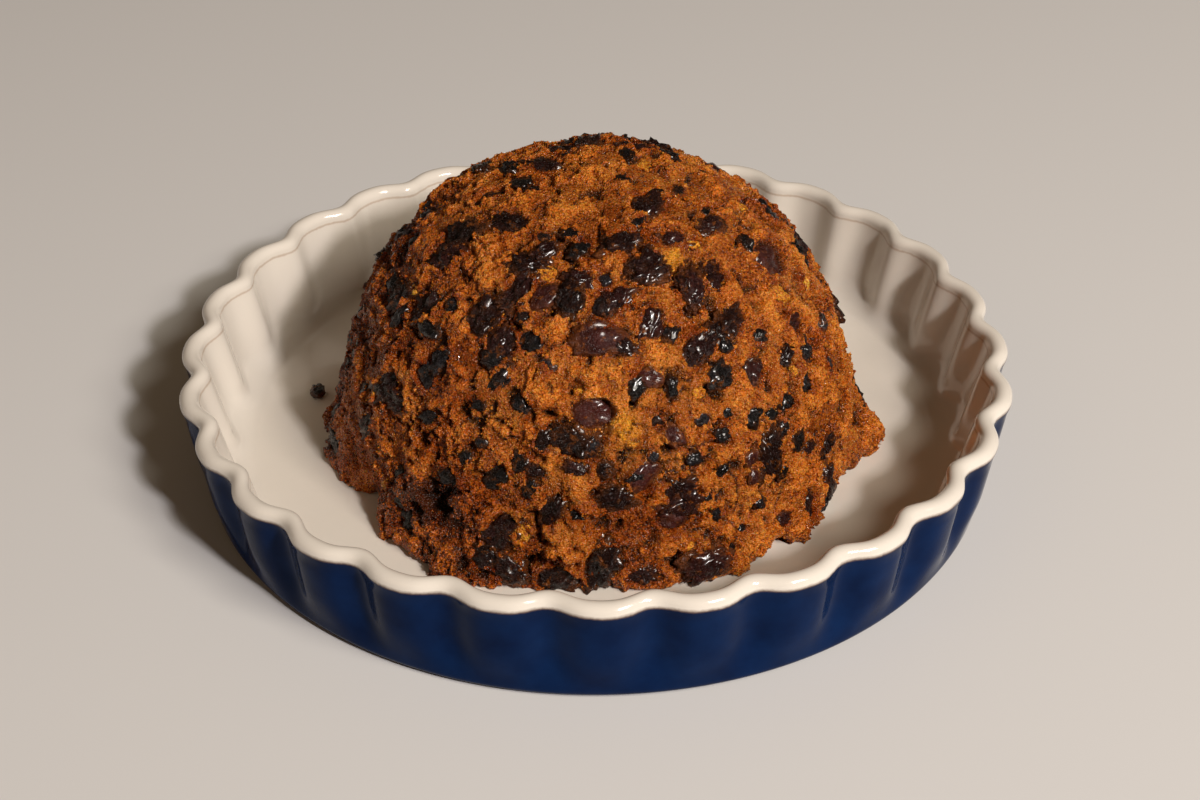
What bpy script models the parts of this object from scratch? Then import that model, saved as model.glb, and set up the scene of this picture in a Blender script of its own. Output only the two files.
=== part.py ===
"""A Christmas pudding turned out into a fluted stoneware flan dish.

The dish stands on z = 0 with its axis on +Z. The pudding stands on the dish's floor, with its front
towards -Y. Directions on the pudding are an azimuth, counted from the front towards +X, and an
elevation above the floor, both seen from the middle of the pudding's foot. Lengths are in metres.
"""

import math

import bmesh
import bpy
from mathutils import Matrix, Vector, noise

NAME = "christmas_pudding"
GAP = 0.0003  # between solids that touch

# Dish
RIM_R = 0.1212  # outside of the lip, halfway between crest and valley
DISH_H = 0.0354
BASE_R = 0.1169  # outside of the wall where it meets the bottom corner
WALL = 0.0056
FLOOR = 0.0058
LIP = 0.0056  # width of the rolled lip
UNDERCUT = 0.0008  # how far the wall stands back below the lip
LIP_START, LIP_END = 180, -20  # the part of its round section that the lip shows, in degrees
COVE_END = -8  # where the cove's arc runs into the inner wall
CORNER = 0.0030  # radius of the outer bottom corner
COVE = 0.0090  # radius between the floor and the inner wall
FLAT_R = BASE_R - WALL - COVE  # the floor is flat out to here
FLUTES = 28
FLUTE_DEPTH = 0.0036  # from crest to valley
FLUTE_SHARPEN = 0.18  # makes the crests broad and the valleys narrow
FLUTE_TURN = math.radians(-5.7)  # direction of one valley, from +X
FLUTE_LOW = 0.0015  # height at which the flutes start to rise from the round base
FLUTE_FULL = 0.0160  # height at which they are at full depth
WALL_BEND = 0.0128  # height at which the outside turns in towards the base
STEPS_PER_FLUTE = 5

# Pudding
PUDDING_R = 0.0775  # radius of the basin shape, without the spread at the foot
PUDDING_H = 0.0845
CROWN_POWER = 1.86  # how flat the crown is
SIDE_POWER = 2.77  # how upright the side is
SPREAD = 0.0045  # how far the foot spreads
SPREAD_H = 0.0200  # height over which the spread dies away
FOOT_EDGE = 0.0025  # rounding under the foot
LUMP = 0.0016  # unevenness of the whole surface
LUMP_SIZE = 0.0240
FINE_LUMP_SIZE = 0.0096
FINE_LUMP_SHARE = 0.6  # of the broad lumps' height
RAG = 0.0018  # unevenness of the foot's outline
RAG_H = 0.0100
RAG_SIZE = 0.0120
FOOT_BAND = 0.006  # below this height the crumb is uneven outward only
PUDDING_STEPS = 50
PUDDING_RINGS = 12
LOWEST_RING = 2  # elevation in degrees
HALVINGS = 40  # in the search for a point of the smooth shape
# Places in the noise for the fine lumps and for the foot's outline
FINE_LUMP_PLACE = Vector((7.0, 3.0, 1.0))
RAG_PLACE = Vector((2.0, 5.0, 9.0))

# Clumps that stand out from the foot and hollows in it: azimuth, height, how far out, and width
CLUMPS = [
    (84, 0.004, 0.0045, 0.009),
    (62, 0.002, -0.0030, 0.014),
    (45.5, 0.002, 0.0038, 0.0045),
    (40, 0.000, -0.0055, 0.0042),
    (26, 0.001, 0.0020, 0.009),
    (-20, 0.001, 0.0035, 0.010),
    (-31, 0.001, 0.0065, 0.009),
    (-60, 0.002, -0.0065, 0.012),
    (-98, 0.012, -0.0022, 0.018),
    (-150, 0.004, 0.0035, 0.009),
    (168, 0.003, -0.0030, 0.012),
]

# The fruit that stands out of the crumb at the front: azimuth, elevation, length, and how far its
# long side turns up from level
FRONT_FRUIT = [
    (-54, 70, 0.0125, 25),
    (52, 78, 0.0120, 5),
    (74, 52, 0.0145, -15),
    (-17, 58, 0.0120, 60),
    (20, 62, 0.0130, 5),
    (34, 56, 0.0115, 70),
    (-34, 50, 0.0125, 75),
    (1, 50, 0.0145, 10),
    (17, 52, 0.0110, 50),
    (29, 46, 0.0125, 25),
    (-1, 37, 0.0125, 0),
    (-5, 31, 0.0110, -20),
    (41, 21, 0.0135, 80),
    (11, 24, 0.0120, 40),
    (18, 16, 0.0130, 15),
    (-20, 11, 0.0125, 50),
    (1.5, 6, 0.0140, 60),
    (22, 4.5, 0.0130, 10),
]
REAR_FRUIT = 7  # spread round the sides and the back
REAR_SPAN = 190  # degrees of azimuth that they are spread over
REAR_LOW, REAR_HIGH = 12, 66  # their elevations
REAR_LENGTH = 0.0115  # of the first of them
REAR_GROWTH = 0.0004  # from each to the next
FRUIT_WIDTH = 0.70  # of the length
FRUIT_THICK = 0.56
FRUIT_SUNK = 0.30  # how deep the middle of a fruit lies, as a share of its thickness
WRINKLE = 0.09  # depth of the wrinkles, as a share of the length
WRINKLES = 3.4  # how closely they follow one another along a fruit
POCKET_GAP = 0.00036  # between a fruit and its pocket
NEARBY = 2.0  # degrees between the points from which the surface's slope is taken

# The currant that has dropped into the dish beside the foot
CURRANT = 0.0055
CURRANT_PLACE = (-0.0862, 0.0148)
CURRANT_TURN = math.radians(80)
CURRANT_SEED = 40

GOLDEN_ANGLE = 137.508  # degrees
GOLDEN_SHARE = 0.618034
SHARP_ANGLE = math.radians(50)


def smooth_step(low, high, value):
    t = min(max((value - low) / (high - low), 0.0), 1.0)
    return t * t * (3.0 - 2.0 * t)


def arc(centre, size, start, end, count):
    """Points (radius, height) on an arc, its angles in degrees up from the outward direction."""
    points = []
    for i in range(count):
        angle = math.radians(start + (end - start) * i / (count - 1))
        points.append((centre[0] + size * math.cos(angle), centre[1] + size * math.sin(angle)))
    return points


def turned(name, profile, steps):
    """The closed mesh that a profile of (radius, height) points sweeps round the Z axis."""
    line = bpy.data.meshes.new(name + "_profile")
    line.from_pydata(
        [(radius, 0.0, height) for radius, height in profile],
        [(i, i + 1) for i in range(len(profile) - 1)],
        [],
    )
    lathe = bpy.data.objects.new(name + "_profile", line)
    bpy.context.scene.collection.objects.link(lathe)
    screw = lathe.modifiers.new("turn", "SCREW")
    screw.angle = math.tau
    screw.steps = steps
    screw.render_steps = steps
    screw.use_merge_vertices = True
    screw.merge_threshold = 0.00002
    bpy.context.view_layer.update()
    depsgraph = bpy.context.evaluated_depsgraph_get()
    mesh = bpy.data.meshes.new_from_object(lathe.evaluated_get(depsgraph))
    mesh.name = name
    bpy.data.objects.remove(lathe)
    bpy.data.meshes.remove(line)
    return mesh


def material(name, colour, roughness):
    result = bpy.data.materials.new(name)
    result.use_nodes = True
    shader = result.node_tree.nodes["Principled BSDF"]
    shader.inputs["Base Color"].default_value = (*colour, 1.0)
    shader.inputs["Roughness"].default_value = roughness
    shader.inputs["Metallic"].default_value = 0.0
    return result


def place(name, mesh, collection, look):
    """Makes a smooth-shaded object of the mesh."""
    mesh.name = name
    mesh.materials.clear()
    mesh.materials.append(look)
    mesh.shade_smooth()
    mesh.set_sharp_from_angle(angle=SHARP_ANGLE)
    result = bpy.data.objects.new(name, mesh)
    collection.objects.link(result)
    return result


def flute(angle):
    """How far the wall stands out at an angle round the dish, in flute depths."""
    phase = FLUTES * (angle - FLUTE_TURN)
    return -0.5 * (math.cos(phase) + FLUTE_SHARPEN * math.cos(2.0 * phase))


def dish_profile():
    """From the middle of the floor, up the inner wall, over the lip and down to the middle of the base."""
    cove = arc((FLAT_R, FLOOR + COVE), COVE, -90, COVE_END, 4)
    bead = LIP / 2
    lip = arc((RIM_R - bead, DISH_H - bead), bead, LIP_START, LIP_END, 5)
    below_lip = (RIM_R - UNDERCUT, DISH_H - LIP)
    middle = ((RIM_R - UNDERCUT + 2 * BASE_R) / 3, WALL_BEND)
    corner = arc((BASE_R - CORNER, CORNER), CORNER, 0, -90, 3)
    return [(0.0, FLOOR), *cove, *lip, below_lip, middle, *corner, (0.0, 0.0)]


def make_dish(collection):
    mesh = turned("dish", dish_profile(), FLUTES * STEPS_PER_FLUTE)
    for vertex in mesh.vertices:
        radius = math.hypot(vertex.co.x, vertex.co.y)
        rise = smooth_step(FLUTE_LOW, FLUTE_FULL, vertex.co.z)
        outward = smooth_step(FLAT_R, FLAT_R + COVE, radius)
        if radius * rise * outward > 0.0:
            angle = math.atan2(vertex.co.y, vertex.co.x)
            grown = 1.0 + FLUTE_DEPTH * flute(angle) * rise * outward / radius
            vertex.co.x *= grown
            vertex.co.y *= grown
    return place("dish", mesh, collection, material("glaze", (0.72, 0.66, 0.56), 0.12))


def side_radius(height):
    """Radius of the pudding's smooth shape at a height above its foot."""
    level = min(max(height / PUDDING_H, 0.0), 1.0)
    basin = PUDDING_R * (1.0 - level**CROWN_POWER) ** (1.0 / SIDE_POWER)
    return basin + SPREAD * math.exp(-height / SPREAD_H) * (1.0 - level**4)


def smooth_point(elevation):
    """Radius and height where a line from the middle of the foot leaves the smooth shape."""
    slope = math.tan(math.radians(elevation))
    low, high = 0.0, PUDDING_H
    for _ in range(HALVINGS):
        middle = (low + high) / 2.0
        if middle < slope * side_radius(middle):
            low = middle
        else:
            high = middle
    return side_radius(low), low


def heading(azimuth):
    """The level direction at an azimuth, which is counted from -Y towards +X."""
    return Vector((math.sin(math.radians(azimuth)), -math.cos(math.radians(azimuth)), 0.0))


def uneven(point):
    """How far the crumb stands out from the smooth shape at a point of it, and how far the foot does."""
    broad = noise.noise(point / LUMP_SIZE)
    fine = noise.noise(point / FINE_LUMP_SIZE + FINE_LUMP_PLACE)
    lump = LUMP * (broad + FINE_LUMP_SHARE * fine)
    level = Vector((point.x, point.y, 0.0))
    rag = RAG * math.exp(-point.z / RAG_H) * noise.noise(level / RAG_SIZE + RAG_PLACE)
    for azimuth, height, reach, width in CLUMPS:
        radius = math.hypot(point.x, point.y)
        centre = heading(azimuth) * radius + Vector((0.0, 0.0, height))
        rag += reach * math.exp(-((point - centre).length_squared) / width**2)
    return lump, rag


def skin(radius, height, azimuth):
    """The point on the uneven pudding for one of its smooth shape, in the pudding's own frame."""
    outward = heading(azimuth)
    smooth = outward * radius + Vector((0.0, 0.0, height))
    lump, rag = uneven(smooth)
    rise = smooth_step(0.0, PUDDING_H, height)
    along = (outward * (1.0 - rise) + Vector((0.0, 0.0, rise))).normalized()
    above_foot = smooth_step(0.0, FOOT_BAND, height)
    moved = smooth + along * lump * above_foot + outward * (rag + lump * (1.0 - above_foot))
    moved.z = max(moved.z, 0.0)
    return moved


def make_pudding(collection):
    """Turned from rings that are evenly spaced over the crown and the side, then made uneven."""
    profile = [(0.0, PUDDING_H)]
    ring_angle = (90.0 - LOWEST_RING) / (PUDDING_RINGS - 1)
    for i in range(1, PUDDING_RINGS):
        profile.append(smooth_point(90.0 - ring_angle * i))
    profile.append((side_radius(0.0) - FOOT_EDGE, 0.0))
    profile.append((0.0, 0.0))
    mesh = turned("pudding", profile, PUDDING_STEPS)
    for vertex in mesh.vertices:
        radius = math.hypot(vertex.co.x, vertex.co.y)
        if radius > 0.0001 or vertex.co.z > 0.0001:
            azimuth = math.degrees(math.atan2(vertex.co.x, -vertex.co.y))
            vertex.co = skin(radius, vertex.co.z, azimuth)
    look = material("crumb", (0.30, 0.105, 0.028), 0.62)
    result = place("pudding", mesh, collection, look)
    result.location.z = FLOOR + GAP
    return result


def fruit_mesh(name, length, seed):
    """A wrinkled dried fruit, long on X and flat on Z."""
    shape = bmesh.new()
    bmesh.ops.create_icosphere(shape, subdivisions=2, radius=0.5)
    for vertex in shape.verts:
        place_in_noise = vertex.co * WRINKLES + Vector((seed * 1.7, seed * 0.9, -seed))
        vertex.co *= 1.0 + 2.0 * WRINKLE * noise.noise(place_in_noise)
        vertex.co = Vector(
            (vertex.co.x * length, vertex.co.y * length * FRUIT_WIDTH, vertex.co.z * length * FRUIT_THICK)
        )
    mesh = bpy.data.meshes.new(name)
    shape.to_mesh(mesh)
    shape.free()
    return mesh


def fruit_frame(azimuth, elevation, length, turn):
    """Where a fruit lies in the crumb: its flat side along the surface, its middle below it."""
    radius, height = smooth_point(elevation)
    here = skin(radius, height, azimuth)
    across = skin(radius, height, azimuth + NEARBY) - skin(radius, height, azimuth - NEARBY)
    up = skin(*smooth_point(elevation + NEARBY), azimuth) - skin(*smooth_point(elevation - NEARBY), azimuth)
    normal = across.cross(up).normalized()
    level = across.normalized()
    slope = normal.cross(level)
    angle = math.radians(turn)
    long_side = level * math.cos(angle) + slope * math.sin(angle)
    short_side = normal.cross(long_side)
    turned_axes = Matrix((long_side, short_side, normal)).transposed().to_4x4()
    middle = here - normal * length * FRUIT_THICK * FRUIT_SUNK
    return Matrix.Translation(middle + Vector((0.0, 0.0, FLOOR + GAP))) @ turned_axes


def rear_fruit():
    """Directions, lengths and turns of the fruit round the sides and the back."""
    rows = []
    for i in range(REAR_FRUIT):
        share = (i + 0.5) / REAR_FRUIT
        azimuth = 180.0 + REAR_SPAN * (share - 0.5)
        elevation = REAR_LOW + (REAR_HIGH - REAR_LOW) * (i * GOLDEN_SHARE % 1.0)
        length = REAR_LENGTH + REAR_GROWTH * i
        rows.append((azimuth, elevation, length, i * GOLDEN_ANGLE % 180.0))
    return rows


def make_fruit(pudding, collection, cutters):
    """Lays each fruit in a pocket of its own in the crumb."""
    look = material("dried_fruit", (0.016, 0.009, 0.008), 0.34)
    for i, (azimuth, elevation, length, turn) in enumerate(FRONT_FRUIT + rear_fruit()):
        name = f"raisin_{i + 1:02d}"
        where = fruit_frame(azimuth, elevation, length, turn)
        mesh = fruit_mesh(name, length, i)
        pocket_mesh = mesh.copy()
        normals = [vertex.normal.copy() for vertex in pocket_mesh.vertices]
        for vertex, normal in zip(pocket_mesh.vertices, normals):
            vertex.co += normal * POCKET_GAP
        pocket = bpy.data.objects.new(name + "_pocket", pocket_mesh)
        pocket.matrix_world = where
        pocket.hide_render = True
        pocket.display_type = "WIRE"
        cutters.objects.link(pocket)
        cut = pudding.modifiers.new(name, "BOOLEAN")
        cut.operation = "DIFFERENCE"
        cut.solver = "EXACT"
        cut.object = pocket
        fruit = place(name, mesh, collection, look)
        fruit.matrix_world = where


def make_loose_currant(collection):
    look = material("currant", (0.010, 0.008, 0.009), 0.40)
    mesh = fruit_mesh("loose_currant", CURRANT, CURRANT_SEED)
    currant = place("loose_currant", mesh, collection, look)
    lowest = min(vertex.co.z for vertex in mesh.vertices)
    currant.location = (*CURRANT_PLACE, FLOOR + GAP - lowest)
    currant.rotation_euler.z = CURRANT_TURN
    return currant


def main():
    for item in list(bpy.data.objects):
        bpy.data.objects.remove(item)
    parts = bpy.data.collections.new(NAME)
    cutters = bpy.data.collections.new("cutters")
    bpy.context.scene.collection.children.link(parts)
    bpy.context.scene.collection.children.link(cutters)
    make_dish(parts)
    pudding = make_pudding(parts)
    make_fruit(pudding, parts, cutters)
    make_loose_currant(parts)


main()
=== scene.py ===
"""The looks of a Christmas pudding in its fluted stoneware dish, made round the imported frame.

Lengths are in metres. A direction on the pudding is an azimuth, counted in degrees from the front
(-Y) towards +X, and an elevation above the dish's floor, both seen from the middle of the foot.
"""
import math

import bmesh
import bpy
import numpy as np
from mathutils import Matrix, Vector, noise


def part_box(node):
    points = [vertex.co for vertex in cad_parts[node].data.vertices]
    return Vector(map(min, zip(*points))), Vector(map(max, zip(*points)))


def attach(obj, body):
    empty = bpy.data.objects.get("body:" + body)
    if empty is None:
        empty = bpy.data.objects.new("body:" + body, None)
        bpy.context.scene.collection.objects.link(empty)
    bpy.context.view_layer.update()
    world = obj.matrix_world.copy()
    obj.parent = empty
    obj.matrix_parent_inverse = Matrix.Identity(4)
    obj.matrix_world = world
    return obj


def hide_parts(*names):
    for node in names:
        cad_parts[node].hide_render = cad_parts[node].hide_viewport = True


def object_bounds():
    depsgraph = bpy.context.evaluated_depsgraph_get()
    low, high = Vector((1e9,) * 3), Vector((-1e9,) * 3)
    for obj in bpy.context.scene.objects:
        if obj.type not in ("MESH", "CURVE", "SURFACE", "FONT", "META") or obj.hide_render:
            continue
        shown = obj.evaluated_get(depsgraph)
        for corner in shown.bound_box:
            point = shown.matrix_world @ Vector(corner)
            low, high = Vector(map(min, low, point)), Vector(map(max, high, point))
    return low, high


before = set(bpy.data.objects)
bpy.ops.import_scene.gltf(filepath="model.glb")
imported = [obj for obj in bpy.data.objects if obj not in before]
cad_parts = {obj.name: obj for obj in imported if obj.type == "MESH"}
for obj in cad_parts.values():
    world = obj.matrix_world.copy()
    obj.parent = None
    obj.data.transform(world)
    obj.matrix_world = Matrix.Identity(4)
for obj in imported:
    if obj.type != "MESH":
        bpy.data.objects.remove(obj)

CAD_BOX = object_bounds()
FOOT_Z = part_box("pudding")[0][2]  # the pudding stands at this height, on the dish's floor

# The dish, as in the CAD model
RIM_R = 0.1212
DISH_H = 0.0354
BASE_R = 0.1169
WALL = 0.0056
FLOOR = 0.0058
LIP = 0.0056
UNDERCUT = 0.0008
CORNER = 0.0030
COVE = 0.0090
FLAT_R = BASE_R - WALL - COVE
FLUTES = 28
FLUTE_DEPTH = 0.0036
FLUTE_SHARPEN = 0.18
FLUTE_TURN = math.radians(-5.7)
FLUTE_LOW = 0.0015
FLUTE_FULL = 0.0160
STEPS_PER_FLUTE = 20
NAVY_FROM = 5.0  # mm down the outside from the top of the lip

# The pudding's lumpy shape, as in the CAD model
PUDDING_R = 0.0775
PUDDING_H = 0.0845
CROWN_POWER = 1.86
SIDE_POWER = 2.77
SPREAD = 0.0045
SPREAD_H = 0.0200
LUMP = 0.0016
LUMP_SIZE = 0.0240
RAG = 0.0018
RAG_H = 0.0100
LEAN_H = 0.0060  # below this height the lumps go outwards, and not off the smooth shape
# Clumps and hollows of the foot: azimuth in degrees, height, reach outwards and width
CLUMPS = [
    (84, 0.004, 0.0045, 0.009),
    (62, 0.002, -0.0030, 0.014),
    (45.5, 0.002, 0.0038, 0.0045),
    (40, 0.000, -0.0055, 0.0042),
    (26, 0.001, 0.0020, 0.009),
    (-20, 0.001, 0.0035, 0.010),
    (-31, 0.001, 0.0065, 0.009),
    (-60, 0.002, -0.0065, 0.012),
    (-98, 0.012, -0.0022, 0.018),
    (-150, 0.004, 0.0035, 0.009),
    (168, 0.003, -0.0030, 0.012),
]
CORE_STEPS = 88  # grid steps over 45 degrees

# The raisins that the CAD model leaves out: azimuth, elevation, length in mm and how far the long
# side is turned up from level
RAISINS = [
    (-69, 62, 12, 80), (-64, 57, 12, 45), (-29, 63, 10, 20), (-24, 67, 8, 60), (-27, 58, 11, 80),
    (-27, 47, 11, 70), (-9, 58, 11, 85), (-6, 62, 8, 0), (12, 69, 10, 0), (46, 58, 10, 60),
    (42, 68, 8, -25), (66, 66, 8, -30), (92, 74, 5, 0), (64, 41, 9, 0), (43, 49, 11, 30),
    (36, 48, 8, 10), (14, 43, 8, -20), (8, 49, 7, -30), (18, 31, 8, -60), (-12, 31, 6, 60),
    (-13, 25, 6, 10), (-4, 26, 6, -10), (2, 26, 5, 10), (4, 20, 9, 0), (18, 20, 9, 5),
    (-17, 4, 10, -25), (-57, 29, 12, 60), (-52, 28, 8, 0), (-78, 25, 11, 80), (-60, 19, 7, 80),
    (36, 22, 5, 30), (36, 18, 5, 60), (61, 13, 9, 30), (53, 17, 5, 0), (60, 5, 10, 80),
    (50, 6, 9, 60), (42, 6, 6, 0), (42, 38, 9, 65), (55, 37, 7, 30), (-9, 17, 8, 70),
    (16, 15, 12, -15), (-77, 4, 11, 0), (9, 3, 9, 10), (-8, 2.5, 11, 0), (-70, 44, 12, 60),
    (-57, 47, 12, 60), (-22, 6, 8, 0), (7, 58, 9, 30), (-160, 70, 9, 0), (155, 71, 11, 5),
    (-125, 62, 9, 20),
]
# Currants, in the same columns
CURRANTS = [
    (-19, 49, 7, 80), (-22, 53, 5, 0), (-47, 50, 6, 30), (-15, 72, 5, 0), (-9, 69, 6, 60),
    (3, 57, 8, 70), (-12, 45, 5, -30), (-95, 76, 6, 0), (-85, 78, 5, 60), (95, 85, 5, 0),
    (135, 70, 7, 20), (37, 45, 4, 50), (75, 36, 6, -30), (79, 34, 6, 20), (-18, 37, 5, -60),
    (-25, 41, 7, 70), (-28, 44, 5, 0), (-9, 32, 6, 10), (-1, 30, 6, 70), (-22, 22, 8, 60),
    (-17, 26, 5, 0), (-33, 19, 7, 0), (33, 40, 7, 0), (19, 40, 5, 80), (10, 41, 5, 40),
    (26, 33, 5, 40), (30, 29, 4, 0), (39, 30, 6, 70), (43, 29, 5, 60), (44, 16, 4, 70),
    (46, 25, 4, 20), (58, 30, 6, 80), (63, 35, 6, 80), (22, 26, 4, 0), (28, 22, 4, 30),
    (26, 14, 5, 70), (24, 17, 4, 10), (28, 6, 4, 60), (31, 9, 4, 0), (58, 1, 6, 20), (88, 9, 6, 10),
    (85, 4, 6, 60), (-43, 40, 8, 80), (-50, 44, 8, 0), (-46, 36, 7, 40), (50, 20, 5, 60),
    (-64, 42, 7, 70), (-66, 24, 6, 60), (-42, 29, 5, 20), (30, 74, 5, 30), (75, 68, 4, 0),
    (69, 58, 5, 60), (-84, 52, 7, 60), (-78, 44, 6, 80), (70, 28, 5, 80), (50, 44, 5, 0),
    (-30, 70, 5, 0), (-29, 35, 4, 0), (14, 35, 4, 0), (22, 50, 5, 60), (4, 62, 4, 20),
    (32, 33, 4, 20), (49, 29, 5, 70), (-26, 28, 4, 10), (-30, 24, 4, 50), (13, 28, 4, 50),
    (8, 24, 4, 0), (-14, 21, 5, 60), (-4, 16, 4, 0), (37, 12, 4, 0), (-42, 6, 6, 50),
    (-45, 9, 5, 0), (-47, 14, 5, 70),
]
# Sultanas and candied peel, in the same columns
AMBER = [
    (-21, 63, 7, 0), (-15, 11, 6, 30), (-53, 8, 8, 70), (94, 60, 8, 20), (66, 47, 8, -40),
    (19, 8, 3, 0), (82, 42, 6, 60), (-66, 48, 4, 0), (-80, 40, 4, 60), (48, 65, 6, -30),
    (26, 38, 4, 0), (-4, 41, 3, 0), (56, 33, 4, 70),
]
# Hollows in the crumb and, where the depth is below 0, clumps on it: azimuth, elevation, width,
# height and depth in mm
HOLLOWS = [
    (-6, 12, 12, 12, -3.2), (-2, 16, 9, 6, -1.2), (33, 7, 13, 11, -1.8), (-36, 24, 14, 12, -1),
    (-24, 12, 9, 9, -1.3), (-40, 2, 12, 6, -1.6), (14, 10, 16, 11, -1), (-12, 3, 16, 5, -0.6),
    (-7, 2, 12, 4, 2), (-7, 8, 12, 4, -1.6), (46, 4, 8, 7, -1.2), (39, 2, 7, 4, 1.2),
    (54, 9, 9, 8, -1.4), (-16, 52, 13, 9, -1), (9, 45, 8, 9, -1), (-2, 44, 13, 6, -0.8),
    (-52, 64, 14, 10, -0.9), (-35, 13, 12, 6, 5), (-39, 10, 6, 4, 3.5), (-22, 10, 8, 2, 2.5),
    (-33, 33, 5, 3, 3), (-23, 33, 4, 2, 2.5), (-39, 31, 3, 2, 2.5), (-11, 36, 4, 2, 2.5),
    (0, 21, 4, 4, 3), (38, 52, 4, 7, 4), (70, 45, 3, 3, 2.5), (31, 22, 5, 4, 3), (16, 29, 4, 3, 3),
    (52, 31, 3, 4, 2.5), (16, 4, 3, 3, 3), (25, 8, 4, 3, 2.5), (31, 37, 4, 3, 2.5),
    (9, 38, 3, 4, 2.5), (-95, 81, 4, 4, 2.5), (-61, 17, 5, 9, 3.5), (-54, 42, 8, 3, 3.5),
    (-55, 15, 2, 6, 2.5), (-45, 22, 2, 3, 2.5), (-41, 24, 4, 2, 2.5), (24, 62, 2, 6, 3),
    (-20, 56, 4, 5, 3), (55, 56, 2, 5, 2.5), (-12, 15, 3, 5, 2.5), (-26, 4, 4, 6, 2),
    (13, 2, 4, 4, 2), (8, 33, 13, 8, -1.1), (9, 29, 10, 2, 2.5),
]
# Where the crumb is wet and dark: azimuth, elevation, reach in mm
WET = [
    (5, 14, 9), (14, 15, 9), (20, 13, 6), (24, 42, 7), (-32, 41, 7), (-5, 4, 8), (8, 20, 10),
    (-26, 15, 9), (-42, 37, 7), (-35, 44, 6), (30, 49, 8), (-13, 3, 11), (17, 36, 8), (12, 30, 6),
]

# Paler crumb and, where the strength is below 0, darker crumb: azimuth, elevation, reach in mm and
# strength. Partly the crumb's own tone, partly painted shade on the pudding's shaded left side and
# in its caves, and painted highlight where the wet crumb glistens
TONE_AND_PAINTED_LIGHT = [
    (-32, 60, 20, 0.01), (0, 66, 20, 0.03), (60, 40, 22, 0.05), (-45, 22, 20, -0.07),
    (-82, 42, 22, -0.32), (2, 40, 12, 0.03), (10, 34, 9, 0.08), (40, 14, 12, 0.05),
    (26, 40, 14, 0.08), (-26, 34, 12, 0.04), (-40, 5, 14, -0.2), (-22, 8, 9, 0.04),
    (-12, 2, 8, -0.22), (10, 1, 10, -0.2), (-42, 8, 10, -0.12), (-82, 5, 8, -0.2),
    (-80, 6, 14, -0.14), (-60, 8, 12, -0.06), (36, 26, 10, 0.06), (7, 34, 6, 0.22),
    (34, 63, 5, 0.2), (26, 41, 9, 0.2), (-30, 5, 17, -0.14), (8, 34, 26, 0.05), (9, 15, 10, -0.06),
    (-7, 9, 6, 0.03), (-88, 20, 18, -0.16), (-26, 15, 8, -0.16), (5, 9, 7, 0.12),
    (-34, 14, 6, -0.6), (-38, 12, 5, -0.4), (-82, 24, 7, -0.12), (-88, 64, 8, 0.1),
    (17, 36, 9, 0.14), (12, 29, 8, 0.12), (8, 30, 12, 0.11), (-26, 60, 8, 0.04), (-66, 22, 7, 0.08),
    (-38, 19, 6, 0.1), (-26, 23, 6, 0.06), (-88, 66, 10, 0.12), (-66, 46, 7, 0.14),
    (-70, 24, 8, 0.08), (-38, 18, 6, 0.12), (-36, 52, 6, 0.08), (-88, 6, 8, -0.25),
    (-42, 37, 6, -0.16), (-36, 43, 6, -0.12), (-72, 5, 10, -0.12), (-28, 33, 14, 0.05),
]

# Amber patches in the crumb: azimuth, elevation, reach in mm
GOLDEN = [(7, 33.5, 4.6), (34, 63, 4.4), (-15, 10, 2.2)]

SEED = 25
REAR_FRUIT = 150  # spread over the sides and the back
REAR_FROM = 88  # degrees of azimuth on either side
REAR_SINES = (0.02, 0.98)  # of the lowest and the highest elevation
# Each kind's share of that fruit, and its least and greatest length in mm
REAR_KINDS = {"raisin": (0.36, 8, 14), "currant": (0.57, 4, 8), "amber": (0.07, 3, 8)}
REAR_SPACING = 0.00052  # for each mm of length, between one fruit's middle and the next
REAR_GAP = 0.0018  # and this much more

# Each kind's width and thickness in lengths, the share of its thickness that is sunk in, and how
# much narrower the narrowest is
SHAPES = {
    "raisin": ((0.70, 0.56), 0.47, 0.84),
    "currant": ((0.88, 0.72), 0.47, 0.62),
    "amber": ((0.74, 0.50), 0.58, 0.88),
}
WIDEST = 1.12  # and how much wider the widest
SUNK_EITHER_WAY = 0.12  # how much more or less of it is sunk in, at random
HIDDEN_EDGE = 1.12  # fruit is this much larger than what the crumb leaves bare
BLUNT = 2.5  # how full the fruit's ends are, where 2 is round
CRUMB_SUNK = 0.0010  # the crumb lies this deep, so that its clods reach the CAD model's surface
# How many folds each piece's fruit has and how deep they are
FOLDS = {
    "raisins": (2.7, 0.75), "currants": (2.2, 0.75), "sultanas": (1.3, 0.35),
    "dropped_currant": (1.8, 0.50),
}
PALEST_RAISIN = 0.66
PALEST_CURRANT = 0.8
PEEL_TINTS = (-0.14, 0.04)
DROPPED_TINT = 0.3
PLUMP = 0.62  # fruit of a paler tint than this is plump
PLUMP_SMOOTH = 0.65  # which makes its folds this much shallower
# The raisins that are plump: azimuth, elevation and how pale they are
PLUMP_RAISINS = [
    (-1, 37, 1.1), (1, 50, 0.76), (18, 31, 0.8), (74, 52, 0.72), (-21, 58, 0.72), (14, 43, 0.84),
    (36, 22, 0.76), (11, 24, 0.84), (36, 18, 0.76), (16, 15, 0.72),
]

# How high each feature of the torn crumb stands, or how deep it goes
PLATEAU_H = 0.0013
STEP_H = 0.0007
CLOD_H = 0.00012
RAGGED_H = 0.00009
FINE_H = 0.00008
PIT_DEPTH = 0.0018
CRACK_DEPTH = 0.0014
# The same round the fruit, and how far the crumb is stained
SHELF_RIM_H = 0.0005
SHELF_DEPTH = 0.0011
BETWEEN_DEPTH = 0.0014
STAIN_REACH = 0.0028
UNDERCUT_DEPTH = 0.0012  # at the pudding's foot
UNDERCUT_H = 0.0014

# Loose crumb: how many, the least radius, the most that is added to it and the power that makes
# that rare, the share of the radius that is sunk in, and how ragged they are
CLODS = (1100, 0.00045, 0.0006, 2.0, 0.45, 0.20)
GRAINS = (24000, 0.00019, 0.00021, 1.0, 0.25, 0.22)

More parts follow.
